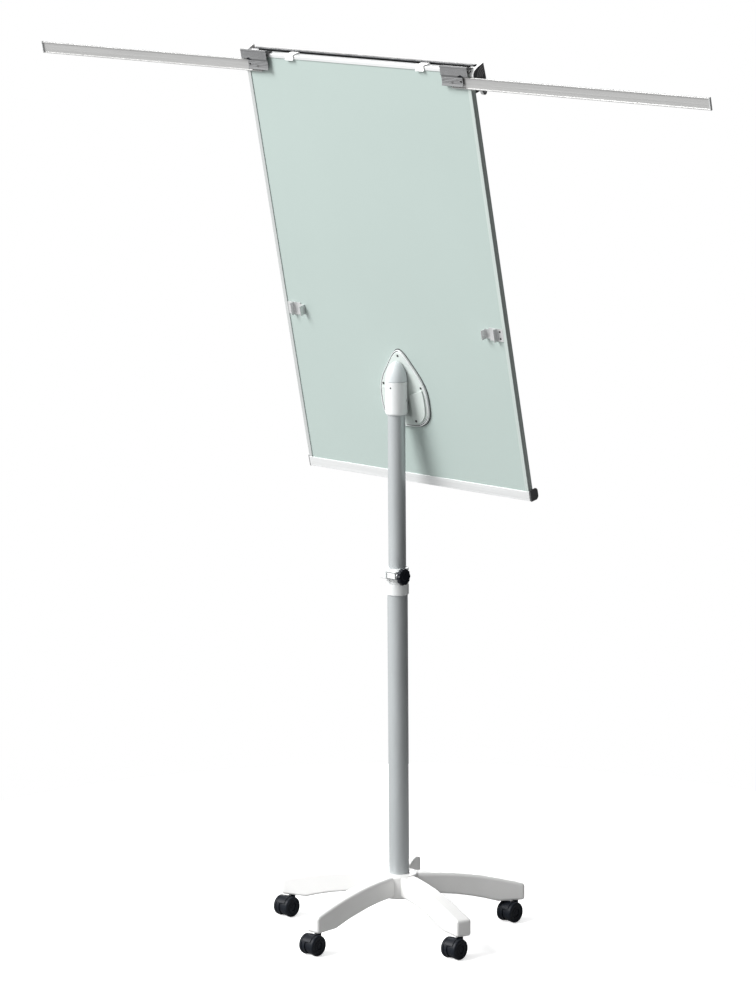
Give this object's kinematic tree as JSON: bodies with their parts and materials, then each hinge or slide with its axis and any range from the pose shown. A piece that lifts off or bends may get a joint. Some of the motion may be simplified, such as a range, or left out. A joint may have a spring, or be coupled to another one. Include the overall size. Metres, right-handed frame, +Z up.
{
  "type": "flipchart easel",
  "caption": "Mobile flipchart easel: tilting whiteboard with paper clamp and fold-out side arms on a telescopic mast with a castered star base.",
  "frame": {"origin": "on the floor, under the middle of the bounding box", "axes": "+Z up, the writing side of the board faces -Y, +X is the easel's left arm as seen from behind"},
  "size_m": [2.082, 0.5879, 2.1116],
  "materials": {
    "white_plastic": "satin moulded plastic",
    "grey_plastic": "satin",
    "black_plastic": "fine texture",
    "tyre": "smooth",
    "grey_paint": "satin powder coat",
    "steel": "zinc plated",
    "aluminium": "anodised, drawn along its length",
    "panel": "pale grey-green painted back, white front"
  },
  "bodies": {
    "base": {"star_base": "white_plastic", "outer_tube": "grey_paint", "post_foot_plug": "black_plastic", "base_bolt": "steel", "height_collar": "white_plastic", "caster_stem_1": "steel", "caster_stem_2": "steel", "caster_stem_3": "steel", "caster_stem_4": "steel", "caster_stem_5": "steel"},
    "caster_1": {"caster_hood_1": "black_plastic", "caster_axle_1": "steel"},
    "wheel_1a": {"caster_wheel_1a": "tyre"},
    "wheel_1b": {"caster_wheel_1b": "tyre"},
    "caster_2": {"caster_hood_2": "black_plastic", "caster_axle_2": "steel"},
    "wheel_2a": {"caster_wheel_2a": "tyre"},
    "wheel_2b": {"caster_wheel_2b": "tyre"},
    "caster_3": {"caster_hood_3": "black_plastic", "caster_axle_3": "steel"},
    "wheel_3a": {"caster_wheel_3a": "tyre"},
    "wheel_3b": {"caster_wheel_3b": "tyre"},
    "caster_4": {"caster_hood_4": "black_plastic", "caster_axle_4": "steel"},
    "wheel_4a": {"caster_wheel_4a": "tyre"},
    "wheel_4b": {"caster_wheel_4b": "tyre"},
    "caster_5": {"caster_hood_5": "black_plastic", "caster_axle_5": "steel"},
    "wheel_5a": {"caster_wheel_5a": "tyre"},
    "wheel_5b": {"caster_wheel_5b": "tyre"},
    "clamp_screw": {"clamp_washer": "steel"},
    "knob": {"height_knob": "black_plastic"},
    "mast_guide": {"inner_tube_guide": "black_plastic"},
    "mast": {"inner_tube": "grey_paint", "head_housing": "white_plastic", "head_cap": "white_plastic", "tilt_bolt": "steel"},
    "board": {"tilt_bracket": "steel", "shield_plate": "white_plastic", "board_panel": "panel", "top_rail": "aluminium", "pen_tray": "aluminium", "left_rail": "aluminium", "right_rail": "aluminium", "tray_cap_left": "grey_plastic", "tray_cap_right": "grey_plastic", "clamp_cap_left": "grey_plastic", "clamp_cap_right": "grey_plastic", "arm_bracket_left": "aluminium", "arm_bracket_right": "aluminium", "arm_clip_left": "aluminium", "arm_clip_right": "aluminium"},
    "clamp": {"clamp_bar": "grey_plastic"},
    "hook_left": {"pad_hook_left": "white_plastic"},
    "arm_root_left": {"arm_pivot_left": "steel"},
    "side_arm_left": {"arm_left": "aluminium"},
    "hook_right": {"pad_hook_right": "white_plastic"},
    "arm_root_right": {"arm_pivot_right": "steel"},
    "side_arm_right": {"arm_right": "aluminium"}
  },
  "joints": [
    {"name": "caster_1_swivel", "type": "hinge", "parent": "base", "child": "caster_1", "pos_m": [0, 0.2489, 0.05], "axis": [0, 0, 1], "continuous": true},
    {"name": "wheel_1a_spin", "type": "hinge", "parent": "caster_1", "child": "wheel_1a", "pos_m": [0, 0.2689, 0.025], "axis": [1, 0, 0], "continuous": true},
    {"name": "wheel_1b_spin", "type": "hinge", "parent": "caster_1", "child": "wheel_1b", "pos_m": [0, 0.2689, 0.025], "axis": [1, 0, 0], "continuous": true},
    {"name": "caster_2_swivel", "type": "hinge", "parent": "base", "child": "caster_2", "pos_m": [-0.27172, 0.05149, 0.05], "axis": [0, 0, 1], "continuous": true},
    {"name": "wheel_2a_spin", "type": "hinge", "parent": "caster_2", "child": "wheel_2a", "pos_m": [-0.27172, 0.07149, 0.025], "axis": [1, 0, 0], "continuous": true},
    {"name": "wheel_2b_spin", "type": "hinge", "parent": "caster_2", "child": "wheel_2b", "pos_m": [-0.27172, 0.07149, 0.025], "axis": [1, 0, 0], "continuous": true},
    {"name": "caster_3_swivel", "type": "hinge", "parent": "base", "child": "caster_3", "pos_m": [-0.16793, -0.26794, 0.05], "axis": [0, 0, 1], "continuous": true},
    {"name": "wheel_3a_spin", "type": "hinge", "parent": "caster_3", "child": "wheel_3a", "pos_m": [-0.16793, -0.24794, 0.025], "axis": [1, 0, 0], "continuous": true},
    {"name": "wheel_3b_spin", "type": "hinge", "parent": "caster_3", "child": "wheel_3b", "pos_m": [-0.16793, -0.24794, 0.025], "axis": [1, 0, 0], "continuous": true},
    {"name": "caster_4_swivel", "type": "hinge", "parent": "base", "child": "caster_4", "pos_m": [0.16793, -0.26794, 0.05], "axis": [0, 0, 1], "continuous": true},
    {"name": "wheel_4a_spin", "type": "hinge", "parent": "caster_4", "child": "wheel_4a", "pos_m": [0.16793, -0.24794, 0.025], "axis": [1, 0, 0], "continuous": true},
    {"name": "wheel_4b_spin", "type": "hinge", "parent": "caster_4", "child": "wheel_4b", "pos_m": [0.16793, -0.24794, 0.025], "axis": [1, 0, 0], "continuous": true},
    {"name": "caster_5_swivel", "type": "hinge", "parent": "base", "child": "caster_5", "pos_m": [0.27172, 0.05149, 0.05], "axis": [0, 0, 1], "continuous": true},
    {"name": "wheel_5a_spin", "type": "hinge", "parent": "caster_5", "child": "wheel_5a", "pos_m": [0.27172, 0.07149, 0.025], "axis": [1, 0, 0], "continuous": true},
    {"name": "wheel_5b_spin", "type": "hinge", "parent": "caster_5", "child": "wheel_5b", "pos_m": [0.27172, 0.07149, 0.025], "axis": [1, 0, 0], "continuous": true},
    {"name": "clamp_screw_travel", "type": "slide", "parent": "base", "child": "clamp_screw", "axis": [-1, 0, 0], "range_m": [0, 0.00063]},
    {"name": "height_knob_turn", "type": "hinge", "parent": "clamp_screw", "child": "knob", "pos_m": [0, -0.0058, 0.873], "axis": [-1, 0, 0], "range_deg": [0, 180]},
    {"name": "mast_height", "type": "slide", "parent": "base", "child": "mast_guide", "axis": [0, 0, 1], "range_m": [-0.172, 0.1]},
    {"name": "mast_turn", "type": "hinge", "parent": "mast_guide", "child": "mast", "pos_m": [0, -0.0368, 0.9], "axis": [0, 0, 1], "continuous": true},
    {"name": "board_tilt", "type": "hinge", "parent": "mast", "child": "board", "pos_m": [0, -0.0468, 1.288], "axis": [1, 0, 0], "range_deg": [0, 11.8]},
    {"name": "clamp_open", "type": "hinge", "parent": "board", "child": "clamp", "pos_m": [0, 0.07451, 2.09995], "axis": [-1, 0, 0], "range_deg": [0, 35], "stiffness_Nm_per_rad": 0.8, "springref_deg": -34.38},
    {"name": "pad_hook_left_slide", "type": "slide", "parent": "board", "child": "hook_left", "axis": [1, 0, 0], "range_m": [-0.18, 0.055]},
    {"name": "arm_left_fold", "type": "hinge", "parent": "board", "child": "arm_root_left", "pos_m": [0.304, 0.09793, 2.06635], "axis": [0, 0.9789, -0.2045], "range_deg": [0, 90]},
    {"name": "arm_left_lift", "type": "hinge", "parent": "arm_root_left", "child": "side_arm_left", "pos_m": [0.304, 0.09793, 2.06635], "axis": [0, 0.2045, 0.9789], "range_deg": [0, 1.2], "stiffness_Nm_per_rad": 4, "springref_deg": -3.44},
    {"name": "pad_hook_right_slide", "type": "slide", "parent": "board", "child": "hook_right", "axis": [-1, 0, 0], "range_m": [-0.18, 0.055]},
    {"name": "arm_right_fold", "type": "hinge", "parent": "board", "child": "arm_root_right", "pos_m": [-0.304, 0.09793, 2.06635], "axis": [0, -0.9789, 0.2045], "range_deg": [0, 90]},
    {"name": "arm_right_lift", "type": "hinge", "parent": "arm_root_right", "child": "side_arm_right", "pos_m": [-0.304, 0.09793, 2.06635], "axis": [0, -0.2045, -0.9789], "range_deg": [0, 1.2], "stiffness_Nm_per_rad": 4, "springref_deg": -3.44}
  ],
  "couplings": [
    {"joint": "clamp_screw_travel", "follows": "height_knob_turn", "m_per_rad": 0.00019894}
  ]
}
